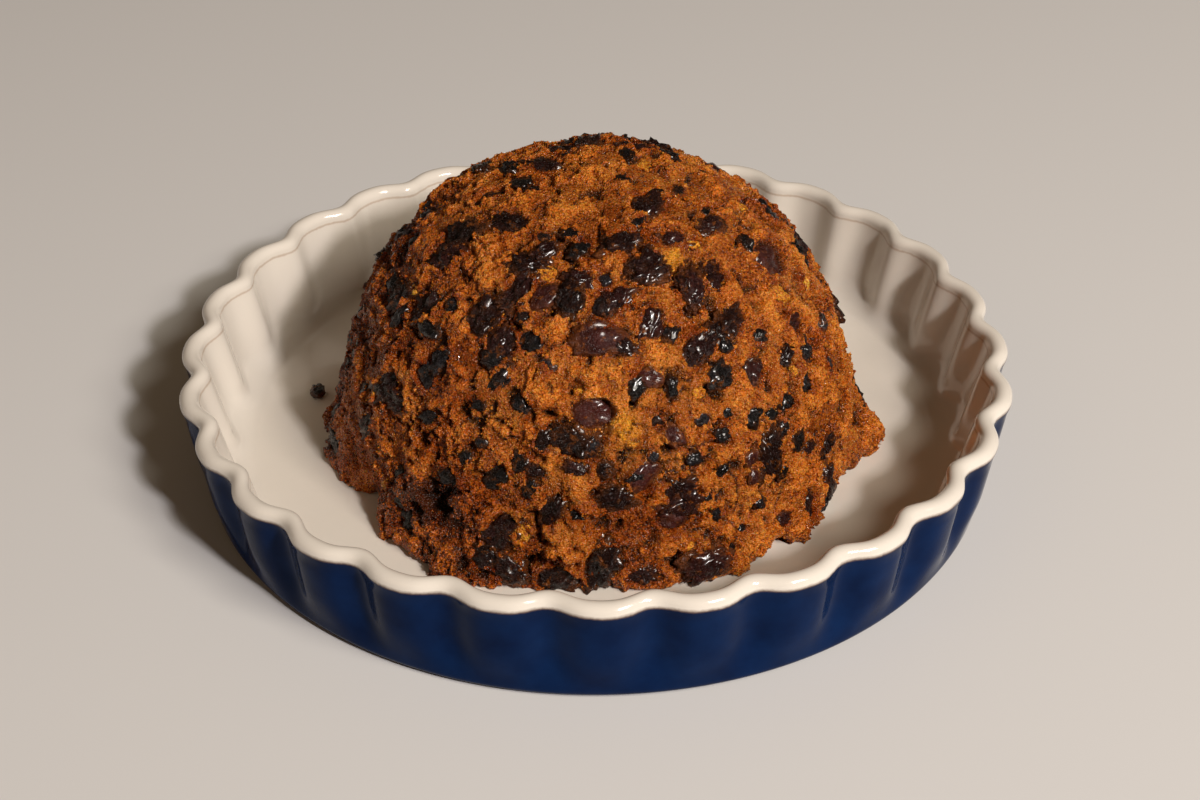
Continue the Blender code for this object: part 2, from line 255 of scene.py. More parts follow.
# Colours from the darkest to the palest: a place from 0 to 1 and red, green and blue for each
CRUMB_STOPS = [
    (0.0, (0.075, 0.013, 0.0010)), (0.28, (0.30, 0.060, 0.0025)), (0.55, (0.60, 0.142, 0.007)),
    (0.80, (0.71, 0.192, 0.015)), (1.0, (0.79, 0.28, 0.034)),
]
GOLDEN_STOPS = [(0.0, (1.0, 0.22, 0.005)), (0.4, (1.0, 0.31, 0.010)), (1.0, (1.0, 0.42, 0.030))]
RAISIN_STOPS = [
    (0.0, (0.003, 0.0006, 0.0005)), (0.35, (0.011, 0.0020, 0.0015)),
    (0.7, (0.025, 0.0052, 0.0048)), (1.0, (0.052, 0.0108, 0.0086)),
]
CURRANT_STOPS = [
    (0.0, (0.0015, 0.0012, 0.0013)), (0.6, (0.0042, 0.0032, 0.0038)), (1.0, (0.014, 0.012, 0.016)),
]
PEEL_STOPS = [
    (0.0, (0.30, 0.065, 0.005)), (0.4, (0.62, 0.19, 0.012)), (0.75, (0.78, 0.31, 0.022)),
    (1.0, (0.90, 0.45, 0.05)),
]
# What wet crumb is coloured with, the stains and painted shade of torn crumb, and the painted shade
# of deep crumb
WET_TINT = (0.60, 0.42, 0.42)
STAIN_AND_SHADE_TINT = (0.40, 0.26, 0.22)
HOLLOW_SHADE_BROWN = (0.012, 0.004, 0.0015)
# Crumb that is stuck on fruit, the brown film on it, and the smear at its sides
STUCK_BROWN = (0.34, 0.095, 0.010)
FILM_BROWN = (0.075, 0.022, 0.006)
SMEAR_BROWN = (0.16, 0.045, 0.009)
# The dish: its glazes, the brown line along the lip and the bare clay between the glazes
WHITES = ((0.735, 0.69, 0.615), (0.70, 0.65, 0.575))
NAVIES = ((0.0020, 0.0095, 0.042), (0.0035, 0.0170, 0.068))
LINE_BROWN = (0.36, 0.22, 0.12)
CLAY_BROWN = (0.17, 0.11, 0.08)
FLOOR_GREYS = ((0.70, 0.70, 0.695), (0.68, 0.68, 0.675))
GRAIN = 0.0009  # the size of the crumb's grains, and how far they are bent out of shape
GRAIN_WARP = 0.0014

# Square lamps: azimuth and elevation in degrees, distance and side in metres, watts and colour
LAMPS = {
    "key": (44, 42, 2.6, 0.80, 40.0, (1.0, 0.91, 0.78)),
    "glint": (34, 37, 2.6, 0.20, 44.0, (1.0, 0.93, 0.92)),
    "fill": (-50, 35, 2.8, 1.60, 2.5, (1.0, 0.66, 0.40)),
}
LAMPS_AIM = (0.0, 0.0, 0.04)
ROOM_COLOUR = (1.0, 0.68, 0.40, 1.0)
ROOM_LIGHT = 0.08
FLOOR_SIZE = 6.0
FLOOR_BELOW = 0.0002

CAMERA_PLACE = (0.0, -0.5266, 0.3775)
CAMERA_YAW = -0.14  # degrees
CAMERA_DOWN = 34.58  # degrees below level
CAMERA_ROLL = 0.0025  # radians
CAMERA_LENS = 63.4  # mm
CAMERA_SENSOR = 36.0  # mm wide


def smooth_step(low, high, value):
    """0 below low and 1 above high, with a soft turn at either."""
    t = np.clip((value - low) / (high - low), 0.0, 1.0)
    return t * t * (3.0 - 2.0 * t)


def sample(points, size, shift=(0.0, 0.0, 0.0)):
    """Gradient noise at each point, from -1 to 1, in a pattern of that size."""
    places = points / size + np.array(shift)
    return np.array([noise.noise(place) for place in places.tolist()])


def layered(points, *layers, start=0.0):
    """Noise of several layers on the start: (strength, size, shift) for each."""
    return sum((strength * sample(points, size, shift) for strength, size, shift in layers), start)


def fading(points, middle, reach):
    """1 at the middle, and the less the further off a point is."""
    return np.exp(-np.sum((points - middle) ** 2, axis=1) / reach**2)


def cells(points, size):
    """Distance to the nearest and to the second nearest seed of a cell pattern of that size."""
    places = points / size
    return np.array([noise.voronoi(place)[0][:2] for place in places.tolist()]).T


# ---- the pudding's shape


def side_radius(height):
    """How wide the smooth shape is at a height."""
    level = np.clip(height / PUDDING_H, 0.0, 1.0)
    basin = PUDDING_R * (1.0 - level**CROWN_POWER) ** (1.0 / SIDE_POWER)
    return basin + SPREAD * np.exp(-height / SPREAD_H) * (1.0 - level**4)


def smooth_point(elevation, halvings=40, steepest=89.99):
    """Radius and height where lines from the middle of the foot leave the smooth shape."""
    slope = np.tan(np.radians(np.minimum(elevation, steepest)))
    low = np.zeros_like(slope)
    high = np.full_like(slope, PUDDING_H)
    for _ in range(halvings):
        middle = (low + high) / 2.0
        outside = middle >= slope * side_radius(middle)
        high = np.where(outside, middle, high)
        low = np.where(outside, low, middle)
    return side_radius(low), low


def heading(azimuth):
    """Level unit vectors towards the azimuths."""
    angle = np.radians(azimuth)
    return np.stack([np.sin(angle), -np.cos(angle), np.zeros_like(angle)], axis=-1)


def uneven(points):
    """How far the crumb stands out from the smooth shape, and how far the foot does."""
    broad = sample(points, LUMP_SIZE)
    fine = sample(points, LUMP_SIZE * 0.4, (7.0, 3.0, 1.0))
    level = points * (1.0, 1.0, 0.0)
    rag = RAG * np.exp(-points[:, 2] / RAG_H) * sample(level, LUMP_SIZE * 0.5, (2.0, 5.0, 9.0))
    radius = np.hypot(points[:, 0], points[:, 1])
    for azimuth, height, reach, width in CLUMPS:
        middle = heading(azimuth) * radius[:, None] + (0.0, 0.0, height)
        rag += reach * fading(points, middle, width)
    return LUMP * (broad + 0.6 * fine), rag


def surface(azimuth, elevation):
    """Points of the lumpy pudding where it stands in the dish."""
    azimuth = np.asarray(azimuth, float)
    radius, height = smooth_point(np.asarray(elevation, float))
    outward = heading(azimuth)
    upward = np.array((0.0, 0.0, 1.0))
    smooth = outward * radius[:, None] + upward * height[:, None]
    lump, rag = uneven(smooth)
    rise = smooth_step(0.0, PUDDING_H, height)[:, None]
    along = outward * (1.0 - rise) + upward * rise
    along /= np.linalg.norm(along, axis=1, keepdims=True)
    free = smooth_step(0.0, LEAN_H, height)
    out = rag + lump * (1.0 - free)
    moved = smooth + along * (lump * free)[:, None] + outward * out[:, None]
    moved[:, 2] = np.maximum(moved[:, 2], 0.0) + FOOT_Z
    return moved


def direction_of(points):
    """Azimuth and elevation of points, seen from the middle of the foot."""
    x, y, z = points[:, 0], points[:, 1], points[:, 2] - FOOT_Z
    return np.degrees(np.arctan2(x, -y)), np.degrees(np.arctan2(z, np.hypot(x, y)))


def lying(azimuth, elevation, turn, step=2.0, lowest=0.1):
    """Points on the pudding and the long, short and outward axes of what lies flat there."""
    azimuth = np.asarray(azimuth, float)
    elevation = np.asarray(elevation, float)
    here = surface(azimuth, elevation)
    across = surface(azimuth + step, elevation) - surface(azimuth - step, elevation)
    below = surface(azimuth, np.maximum(elevation - step, lowest))
    up = surface(azimuth, elevation + step) - below
    across /= np.linalg.norm(across, axis=1, keepdims=True)
    normal = np.cross(across, up)
    normal /= np.linalg.norm(normal, axis=1, keepdims=True)
    slope = np.cross(normal, across)
    angle = np.radians(np.asarray(turn, float))[:, None]
    long_side = across * np.cos(angle) + slope * np.sin(angle)
    return here, np.stack([long_side, np.cross(normal, long_side), normal], axis=1)


def spots(table):
    """Where a table's rows are on the pudding, their third column in metres, and what follows."""
    rows = np.array(table, float)
    return zip(surface(rows[:, 0], rows[:, 1]), rows[:, 2] / 1000.0, rows[:, 3:])


# ---- mesh building


def cube_grid(half, low):
    """Points on a cube of lattice steps, down to a level, and the quads between them.

    With low = -half the cube is closed; above that its lower part and its bottom are left out.
    """
    square = np.array([(0, 0), (1, 0), (1, 1), (0, 1)])
    wide = np.arange(-half, half)
    u, v = np.meshgrid(wide, wide, indexing="ij")
    flat = np.stack([u.ravel(), v.ravel()], 1)[:, None, :] + square
    level = np.full(flat.shape[:2] + (1,), half)
    patches = [np.concatenate([flat, level], 2)]
    if low == -half:
        patches.append(np.concatenate([flat[:, ::-1], -level], 2))
    u, w = np.meshgrid(wide, np.arange(low, half), indexing="ij")
    upright = np.stack([u.ravel(), w.ravel()], 1)[:, None, :] + square
    side = np.concatenate([np.full(upright.shape[:2] + (1,), half), upright], 2)
    for _ in range(4):
        patches.append(side)
        side = side[:, :, [1, 0, 2]] * (-1, 1, 1)
    corners = np.concatenate(patches).reshape(-1, 3)
    lattice, index = np.unique(corners, axis=0, return_inverse=True)
    return lattice, index.reshape(-1, 4)


def ball(half):
    """Evenly spread points on a unit sphere and the quads between them."""
    lattice, quads = cube_grid(half, -half)
    points = np.tan(lattice / half * math.pi / 4.0)
    return points / np.linalg.norm(points, axis=1, keepdims=True), quads


def octahedron():
    """Corners of a unit octahedron and its triangles."""
    points = np.array([(1, 0, 0), (-1, 0, 0), (0, 1, 0), (0, -1, 0), (0, 0, 1), (0, 0, -1)], float)
    upper = [(0, 2, 4), (2, 1, 4), (1, 3, 4), (3, 0, 4)]
    lower = [(2, 0, 5), (1, 2, 5), (3, 1, 5), (0, 3, 5)]
    return points, np.array(upper + lower)


def icosphere(subdivisions):
    """Corners of a unit icosphere and its triangles."""
    shape = bmesh.new()
    bmesh.ops.create_icosphere(shape, subdivisions=subdivisions, radius=1.0)
    points = np.array([vertex.co[:] for vertex in shape.verts])
    triangles = np.array([[vertex.index for vertex in face.verts] for face in shape.faces])
    shape.free()
    return points, triangles


def normals_of(points, quads):
    """Unit normals at the points, from the quads round them."""
    first = points[quads[:, 2]] - points[quads[:, 0]]
    second = points[quads[:, 3]] - points[quads[:, 1]]
    facing = np.cross(first, second)
    total = np.zeros_like(points)
    for corner in range(4):
        for axis in range(3):
            total[:, axis] += np.bincount(quads[:, corner], facing[:, axis], len(points))
    return total / np.linalg.norm(total, axis=1, keepdims=True)


def joined(template_points, template_faces, bodies):
    """One array of points and one of faces for many copies of a template's faces."""
    count, size = len(bodies), len(template_points)
    points = np.concatenate(bodies)
    offsets = (np.arange(count) * size)[:, None, None]
    return points, (template_faces[None] + offsets).reshape(-1, template_faces.shape[1])


def add_piece(name, points, faces, look, replaced, attributes):
    """Makes a smooth object of the points and faces and ties it to the frame."""
    mesh = bpy.data.meshes.new(name)
    mesh.from_pydata(points.tolist(), [], faces if isinstance(faces, list) else faces.tolist())
    for label, values in attributes.items():
        layer = mesh.attributes.new(label, "FLOAT", "POINT")
        layer.data.foreach_set("value", np.asarray(values, np.float32))
    mesh.materials.append(look)
    mesh.shade_smooth()
    piece = bpy.data.objects.new(name, mesh)
    bpy.context.scene.collection.objects.link(piece)
    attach(piece, "root")
    if replaced:
        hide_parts(*replaced)
    return piece


# ---- materials


class Look:
    """A Principled material whose nodes are added by short calls."""

    def __init__(self, name, **settings):
        self.material = bpy.data.materials.new(name)
        self.material.use_nodes = True
        self.tree = self.material.node_tree
        self.shader = self.tree.nodes["Principled BSDF"]
        for label, value in settings.items():
            self.set(label.replace("_", " "), value)
        self.places = self.tree.nodes.new("ShaderNodeTexCoord").outputs["Object"]

    def put(self, socket, value):
        """Joins another node's output to the socket, or sets its plain value."""
        if isinstance(value, bpy.types.NodeSocket):
            self.tree.links.new(value, socket)
        else:
            socket.default_value = value

    def set(self, label, value):
        self.put(self.shader.inputs[label], value)

    def node(self, kind, output, **inputs):
        """One output of a new node, whose inputs are set or joined by their names."""
        node = self.tree.nodes.new(kind)
        for label, value in inputs.items():
            self.put(node.inputs[label.replace("_", " ")], value)
        return node.outputs[output]

    def noise(self, size, detail, rough=0.55, distort=0.0):
        """Noise from 0 to 1 in a pattern of that size."""
        shape = {"Scale": 1.0 / size, "Detail": detail, "Roughness": rough, "Distortion": distort}
        return self.node("ShaderNodeTexNoise", "Fac", Vector=self.places, **shape)

    def cells(self, size, output, warp):
        """A cell pattern whose cells are bent out of shape by up to half the warp."""
        coarse = {"Scale": 0.6 / size, "Detail": 1.0}
        shift = self.node("ShaderNodeTexNoise", "Color", Vector=self.places, **coarse)
        bent = self.tree.nodes.new("ShaderNodeVectorMath")
        bent.operation = "MULTIPLY_ADD"
        for socket, value in zip(bent.inputs, (shift, (warp, warp, warp), self.places)):
            self.put(socket, value)
        vector = bent.outputs[0]
        return self.node("ShaderNodeTexVoronoi", output, Vector=vector, Scale=1.0 / size)

    def attribute(self, name):
        node = self.tree.nodes.new("ShaderNodeAttribute")
        node.attribute_name = name
        return node.outputs["Fac"]

    def math(self, operation, *values):
        node = self.tree.nodes.new("ShaderNodeMath")
        node.operation = operation
        for socket, value in zip(node.inputs, values):
            self.put(socket, value)
        return node.outputs[0]

    def span(self, value, low, high, start=0.0, end=1.0):
        """The value's way from low to high, drawn out from start to end, and no further."""
        ends = {"From_Min": low, "From_Max": high, "To_Min": start, "To_Max": end}
        return self.node("ShaderNodeMapRange", "Result", Value=value, **ends)

    def folds(self, size):
        """Creases between rounded folds of that size."""
        return self.math("ABSOLUTE", self.math("SUBTRACT", self.noise(size, 1.0, 0.5, 0.8), 0.5))

    def ramp(self, value, stops):
        """Colours along the value: (place, (red, green, blue)) for each stop."""
        node = self.tree.nodes.new("ShaderNodeValToRGB")
        elements = node.color_ramp.elements
        while len(elements) < len(stops):
            elements.new(0.5)
        for element, (place, colour) in zip(elements, stops):
            element.position = place
            element.color = (*colour, 1.0)
        self.put(node.inputs["Fac"], value)
        return node.outputs["Color"]

    def mix(self, share, first, second, blend="MIX"):
        """The second colour over the first, by the share of it."""
        node = self.tree.nodes.new("ShaderNodeMix")
        node.data_type = "RGBA"
        node.blend_type = blend
        self.put(node.inputs["Factor"], share)
        for socket, value in ((node.inputs[6], first), (node.inputs[7], second)):
            self.put(socket, (*value, 1.0) if isinstance(value, tuple) else value)
        return node.outputs[2]

    def bump(self, layers, distance):
        """Bumps one on another: (height, strength) for each layer."""
        below = {}
        for height, strength in layers:
            shape = {"Strength": strength, "Distance": distance, "Height": height}
            below["Normal"] = self.node("ShaderNodeBump", "Normal", **shape, **below)
        self.set("Normal", below["Normal"])


def crumb_look(name, stops, specular=0.42, smoother=0.0):
    """Moist, grainy crumb: stops run from its darkest to its palest grains.

    It reads how much paler or darker the crumb is (tint), partly painted light and shade, and where
    it is amber (golden).
    It reads the painted shade where it is sunk deep (hollow_shade), its stains with painted shade
    in its tears (torn), and where it is wet.
    """
    look = Look(name, Specular_IOR_Level=specular, Subsurface_Weight=0.30, Subsurface_Scale=0.0010)
    broad = look.noise(0.011, 3.0)
    clod = look.noise(0.0026, 4.0, 0.65)
    grain = look.cells(GRAIN, "Color", GRAIN_WARP)
    dome = look.math("SUBTRACT", 1.0, look.cells(GRAIN, "Distance", GRAIN_WARP))
    speck = look.noise(0.0006, 2.0, 0.7)
    tone = look.math("MULTIPLY_ADD", broad, 0.80, look.math("MULTIPLY", clod, 0.24))
    tone = look.math("MULTIPLY_ADD", grain, 0.30, tone)
    tone = look.math("MULTIPLY_ADD", speck, 0.80, look.math("SUBTRACT", tone, 0.285))
    bright = look.span(look.noise(0.0010, 2.0, 0.6), 0.55, 0.70, 0.0, 0.36)
    tone = look.math("ADD", tone, bright)
    # tint: the crumb's own tone, with painted light and shade in it
    tone = look.math("ADD", tone, look.attribute("tint"))
    # painted shade in the gaps between the grains
    shade_between_grains = look.span(dome, 0.65, 0.25, 0.0, 0.26)
    tone = look.span(look.math("SUBTRACT", tone, shade_between_grains), 0.30, 0.90)
    amber = look.ramp(tone, GOLDEN_STOPS)
    colour = look.mix(look.attribute("golden"), look.ramp(tone, stops), amber)
    wet = look.attribute("wet")
    colour = look.mix(look.math("MULTIPLY", wet, 0.7), colour, WET_TINT, "MULTIPLY")
    # painted shade in cracks, lower terraces, torn edges and between close fruits, with real stains
    # round the fruit
    colour = look.mix(look.attribute("torn"), colour, STAIN_AND_SHADE_TINT, "MULTIPLY")
    # painted shade, nearly black, where the crumb is sunk deep in pits, cracks and dug hollows
    look.set("Base Color", look.mix(look.attribute("hollow_shade"), colour, HOLLOW_SHADE_BROWN))
    rough = look.span(look.noise(0.0009, 2.0), 0.35, 0.65, 0.17 - smoother, 0.42 - smoother)
    rough = look.math("SUBTRACT", rough, look.math("MULTIPLY", wet, 0.15))
    look.set("Roughness", look.math("MAXIMUM", rough, 0.10))
    small_dome = look.math("SUBTRACT", 1.0, look.cells(0.0005, "Distance", 0.0008))
    layers = [(look.noise(0.0024, 2.0, 0.6), 0.18), (dome, 0.9), (small_dome, 0.8)]
    look.bump(layers + [(look.noise(0.0006, 1.0, 0.6), 0.5)], 0.0009)
    return look.material


def fruit_look(name, stops, roughness, wrinkle, smear_from):
    """Dried fruit: stops run from the darkest to the palest, wrinkle is its folds' size.

    It reads how pale a fruit is (tint) and how near a point is to a ridge and to the fruit's side.
    """
    look = Look(name, Specular_IOR_Level=0.16, Coat_Weight=0.55, Coat_Roughness=0.19)
    tint = look.attribute("tint")
    tone = look.math("MULTIPLY_ADD", look.noise(0.0035, 2.0), 0.9, tint)
    tone = look.math("SUBTRACT", tone, 0.35)
    tone = look.math("MULTIPLY_ADD", look.attribute("ridge"), 0.25, tone)
    colour = look.ramp(look.span(tone, 0.0, 1.2), stops)
    stuck = look.span(look.noise(0.0028, 3.0, 0.6), 0.58, 0.66)
    stuck = look.math("MULTIPLY", stuck, look.noise(0.0009, 1.0))
    colour = look.mix(look.math("MULTIPLY", stuck, 0.7), colour, STUCK_BROWN)
    film = look.span(look.noise(0.0045, 3.0, 0.6), 0.54, 0.72, 0.0, 0.35)
    colour = look.mix(film, colour, FILM_BROWN)
    smeared = look.math("MULTIPLY_ADD", look.noise(0.0024, 3.0, 0.6), 0.9, look.attribute("side"))
    smeared = look.span(smeared, smear_from, smear_from + 0.36, 0.0, 0.75)
    look.set("Base Color", look.mix(smeared, colour, SMEAR_BROWN))
    shine = look.noise(0.0035, 2.0)
    look.set("Roughness", look.span(shine, 0.35, 0.65, roughness, roughness + 0.2))
    shallow = look.span(tint, PLUMP, PLUMP + 0.08, 1.0, 0.45)
    folds = look.math("MULTIPLY", look.folds(wrinkle), shallow)
    fine = look.math("MULTIPLY", look.folds(wrinkle * 0.45), shallow)
    look.bump([(folds, 1.0), (fine, 0.9), (look.noise(0.0008, 1.0), 0.12)], 0.0020)
    return look.material


def glaze_look(name, specular):
    """White inside and over the lip, navy outside.

    It reads how far a point is down the outside from the top of the lip in mm (rim).
    """
    look = Look(name, Specular_IOR_Level=specular)
    edge = look.math("MULTIPLY_ADD", look.noise(0.004, 3.0), 0.9, look.attribute("rim"))
    edge = look.math("MULTIPLY_ADD", look.noise(0.0009, 2.0), 0.35, edge)
    white = look.mix(look.noise(0.02, 2.0), *WHITES)
    line = look.math("ABSOLUTE", look.math("ADD", edge, 4.4))
    white = look.mix(look.span(line, 0.0, 0.55, 0.55, 0.0), white, LINE_BROWN)
    navy = look.mix(look.span(look.noise(0.012, 3.0), 0.3, 0.7), *NAVIES)
    colour = look.mix(look.span(edge, 4.5, 5.5), white, CLAY_BROWN)
    look.set("Base Color", look.mix(look.span(edge, 5.2, 6.0), colour, navy))
    look.set("Roughness", look.span(look.noise(0.01, 3.0), 0.3, 0.7, 0.07, 0.14))
    look.bump([(look.noise(0.012, 2.0), 0.10), (look.noise(0.0016, 2.0), 0.02)], 0.0010)
    return look.material


# ---- fruit


def cad_fruit():
    """Directions, sizes and turns of the CAD model's own raisins, read from the frame."""
    rows, names = [], []
    for name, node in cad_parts.items():
        if not name.startswith("raisin_"):
            continue
        points = np.array([vertex.co[:] for vertex in node.data.vertices])
        middle = points.mean(axis=0)
        long_side = np.linalg.svd(points - middle, full_matrices=False)[2][0]
        length = np.ptp((points - middle) @ long_side)
        azimuth, elevation = (angle[0] for angle in direction_of(middle[None]))
        axes = lying([azimuth], [elevation], [0.0])[1][0]
        turn = math.degrees(math.atan2(long_side @ axes[1], long_side @ axes[0]))
        rows.append((azimuth, elevation, length * 1000.0, turn))
        names.append(name)
    return rows, names


def spread_fruit(taken, rng):
    """Fruit for the sides and the back, no nearer to one another than they are at the front."""
    rows = {kind: [] for kind in REAR_KINDS}
    middles = [surface([row[0]], [row[1]])[0] for row in taken]
    shares = [share for share, _, _ in REAR_KINDS.values()]
    while sum(len(kind_rows) for kind_rows in rows.values()) < REAR_FRUIT:
        azimuth = 180.0 + (180.0 - REAR_FROM) * rng.uniform(-1.0, 1.0)
        elevation = math.degrees(math.asin(rng.uniform(*REAR_SINES)))
        kind = rng.choice(list(REAR_KINDS), p=shares)
        lengths = {name: rng.uniform(low, high) for name, (_, low, high) in REAR_KINDS.items()}
        middle = surface([azimuth], [elevation])[0]
        nearest = min(np.linalg.norm(middle - other) for other in middles)
        if nearest > lengths[kind] * REAR_SPACING + REAR_GAP:
            middles.append(middle)
            rows[kind].append((azimuth, elevation, lengths[kind], rng.uniform(0, 180)))
    return rows


def fruit_places(rows, shape, sunk, narrowest, rng):
    """Middles, axes and half sizes of fruit, sunk into the pudding.

    The shape is width and thickness in lengths, and each is made narrower or wider at random.
    """
    azimuth, elevation, length, turn = np.array(rows, float).T
    here, axes = lying(azimuth, elevation, turn)
    flat = rng.uniform(narrowest, WIDEST, (len(rows), 2)) * shape / 2.0
    half = np.stack([np.full(len(rows), 0.5), *flat.T], 1) * length[:, None] / 1000.0
    half *= HIDDEN_EDGE
    deeper = rng.uniform(-SUNK_EITHER_WAY, SUNK_EITHER_WAY, len(rows))
    depth = half[:, 2] * 2.0 * (sunk + deeper)
    return here - axes[:, 2] * (depth + CRUMB_SUNK)[:, None], axes, half


def wrinkled(points, seed, folds, depth):
    """A unit ball's points with a dried fruit's folds, and how far each stands on a ridge."""
    shift = np.array((seed * 1.7, seed * 0.9, -seed * 1.3)) % 97.0
    bent = points + 0.22 * np.stack([sample(points, 0.8, shift + i * 5.0) for i in range(3)], 1)
    coarse = np.abs(sample(bent * (0.55, 1.0, 1.0), 1.0 / folds, shift))
    fine = np.abs(sample(bent * (0.65, 1.0, 1.0), 0.5 / folds, shift + 3.0))
    bulk = sample(points, 1.0, shift + 9.0)
    ridge = coarse + 0.5 * fine
    full = points / (np.sum(np.abs(points) ** BLUNT, axis=1) ** (1.0 / BLUNT))[:, None]
    return full * (0.84 + 0.26 * bulk + depth * ridge)[:, None], np.clip(ridge * 2.2, 0.0, 1.0)


def add_fruit(name, template, places, look, replaced, tints):
    """One piece of wrinkled fruit at the places, each with its own tint."""
    points, quads = template
    folds, depth = FOLDS[name]
    bodies, ridges = [], []
    for i, (middle, axes, half) in enumerate(zip(*places)):
        own_depth = depth * (1.0 - PLUMP_SMOOTH * (tints[i] > PLUMP))
        shape, ridge = wrinkled(points, i + 3.0 * len(name), folds, own_depth)
        bodies.append(middle + (shape * half) @ axes)
        ridges.append(ridge)
    everything, faces = joined(points, quads, bodies)
    everything[:, 2] = np.maximum(everything[:, 2], FOOT_Z)
    values = {
        "ridge": np.concatenate(ridges),
        "tint": np.repeat(tints, len(points)),
        "side": np.tile(np.hypot(points[:, 0], points[:, 1]), len(bodies)),
    }
    add_piece(name, everything, faces, look, replaced, values)


# ---- crumb


def wetness(points):
    """How wet the crumb is at each point, from 0 to 1."""
    patchy = 0.5 + 0.9 * sample(points, 0.006, (4.0, 8.0, 2.0))
    wet = smooth_step(0.0, 0.36, sample(points, 0.016, (11.0, 2.0, 6.0)))
    wet *= patchy * 1.3
    for spot, reach, _ in spots(WET):
        wet = np.maximum(wet, fading(points, spot, reach) * (patchy + 0.5))
    return np.clip(wet, 0.0, 1.0)


def shade(points):
    """How much paler (above 0) or darker the crumb is at each point: its own tone, with painted
    light and shade.
    """
    total = 0.14 * sample(points, 0.018, (6.0, 1.0, 3.0))
    for spot, reach, strength in spots(TONE_AND_PAINTED_LIGHT):
        total += strength * fading(points, spot, reach)
    return total


def golden(points):
    """How much the crumb is amber at each point, from 0 to 1."""
    ragged = layered(points, (0.35, 0.0030, (3.0, 5.0, 5.0)), (0.25, 0.0012, (8.0, 3.0, 7.0)))
    total = np.zeros(len(points))
    for spot, reach, _ in spots(GOLDEN):
        away = np.linalg.norm(points - spot, axis=1) / reach
        total = np.maximum(total, 1.0 - smooth_step(0.75, 1.10, away + ragged))
    return total


def crumb_relief(points):
    """Height of the torn crumb over the lumpy shape, and how torn it is: its cracks and lower
    terraces, which are coloured with painted shade.
    """
    ragged = sample(points, 0.0018, (2.0, 2.0, 9.0))
    torn = layered(points, (1.0, 0.0090, (1.0, 6.0, 3.0)), (0.55, 0.0040, (5.0, 1.0, 8.0)))
    plateau = smooth_step(-0.08, 0.02, torn + 0.30 * ragged)
    step = smooth_step(0.26, 0.36, torn + 0.30 * ragged)
    warp = np.stack([sample(points, 0.003, (i * 7.0, 2.0, 5.0)) for i in range(3)], 1) * 0.0013
    near, second = cells(points + warp, 0.0038)
    clod = smooth_step(0.0, 0.30, second - near) - 0.4 * near * near
    fine = sample(points, 0.0012, (9.0, 4.0, 2.0))
    pits = smooth_step(0.34, 0.46, sample(points, 0.0042, (8.0, 8.0, 1.0)) + 0.2 * ragged)
    line = np.abs(sample(points, 0.0065, (4.0, 9.0, 1.0)) + 0.25 * ragged)
    cracked = smooth_step(-0.05, 0.15, sample(points, 0.011, (7.0, 2.0, 8.0)))
    crack = (1.0 - smooth_step(0.02, 0.10, line)) * cracked
    height = PLATEAU_H * (plateau - 0.7) + STEP_H * step + CLOD_H * (clod - 0.6)
    height += RAGGED_H * ragged + FINE_H * fine - PIT_DEPTH * pits - CRACK_DEPTH * crack
    # cracks and lower terraces: painted shade
    return height, np.maximum(crack, 0.5 * (1.0 - plateau))


def dig_hollows(points, height):
    """Sinks the hollows into the crumb's heights and raises its clumps."""
    rows = np.array(HOLLOWS, float)
    middles, axes = lying(rows[:, 0], rows[:, 1], np.zeros(len(rows)))
    ragged = 0.45 * sample(points, 0.0022, (2.0, 7.0, 7.0))
    for middle, (level, slope, _), size in zip(middles, axes, rows[:, 2:] / 1000.0):
        width, tall, depth = size
        offset = points - middle
        across = np.hypot(offset @ level / (width / 2.0), offset @ slope / (tall / 2.0))
        near = np.sum(offset**2, axis=1) < 0.012**2
        height -= near * depth * (1.0 - smooth_step(0.70, 1.10, across + ragged))


def fruit_gap(points, fruit):
    """Distances to the outlines of the nearest two fruits, below 0 over a fruit.

    The height just under the nearest one's skin comes with them, and is used only over it.
    """
    gap = np.full(len(points), 0.02)
    second = np.full(len(points), 0.02)
    floor = np.zeros(len(points))
    for middles, axes, halves in fruit:
        for middle, (long_side, short_side, normal), half in zip(middles, axes, halves):
            offset = points - middle
            near = np.nonzero(np.sum(offset**2, axis=1) < (half[0] + 0.006) ** 2)[0]
            offset = offset[near]
            q = np.hypot(offset @ long_side / half[0], offset @ short_side / half[1])
            own = (q - 1.0) * half[1]
            nearer = own < gap[near]
            second[near] = np.where(nearer, gap[near], np.minimum(second[near], own))
            gap[near[nearer]] = own[nearer]
            skin = half[2] * np.clip(1.0 - q**BLUNT, 0.0, 1.0) ** (1.0 / BLUNT)
            floor[near[nearer]] = (skin * 0.86 - 0.0004 - offset @ normal)[nearer]
    return gap, second, floor


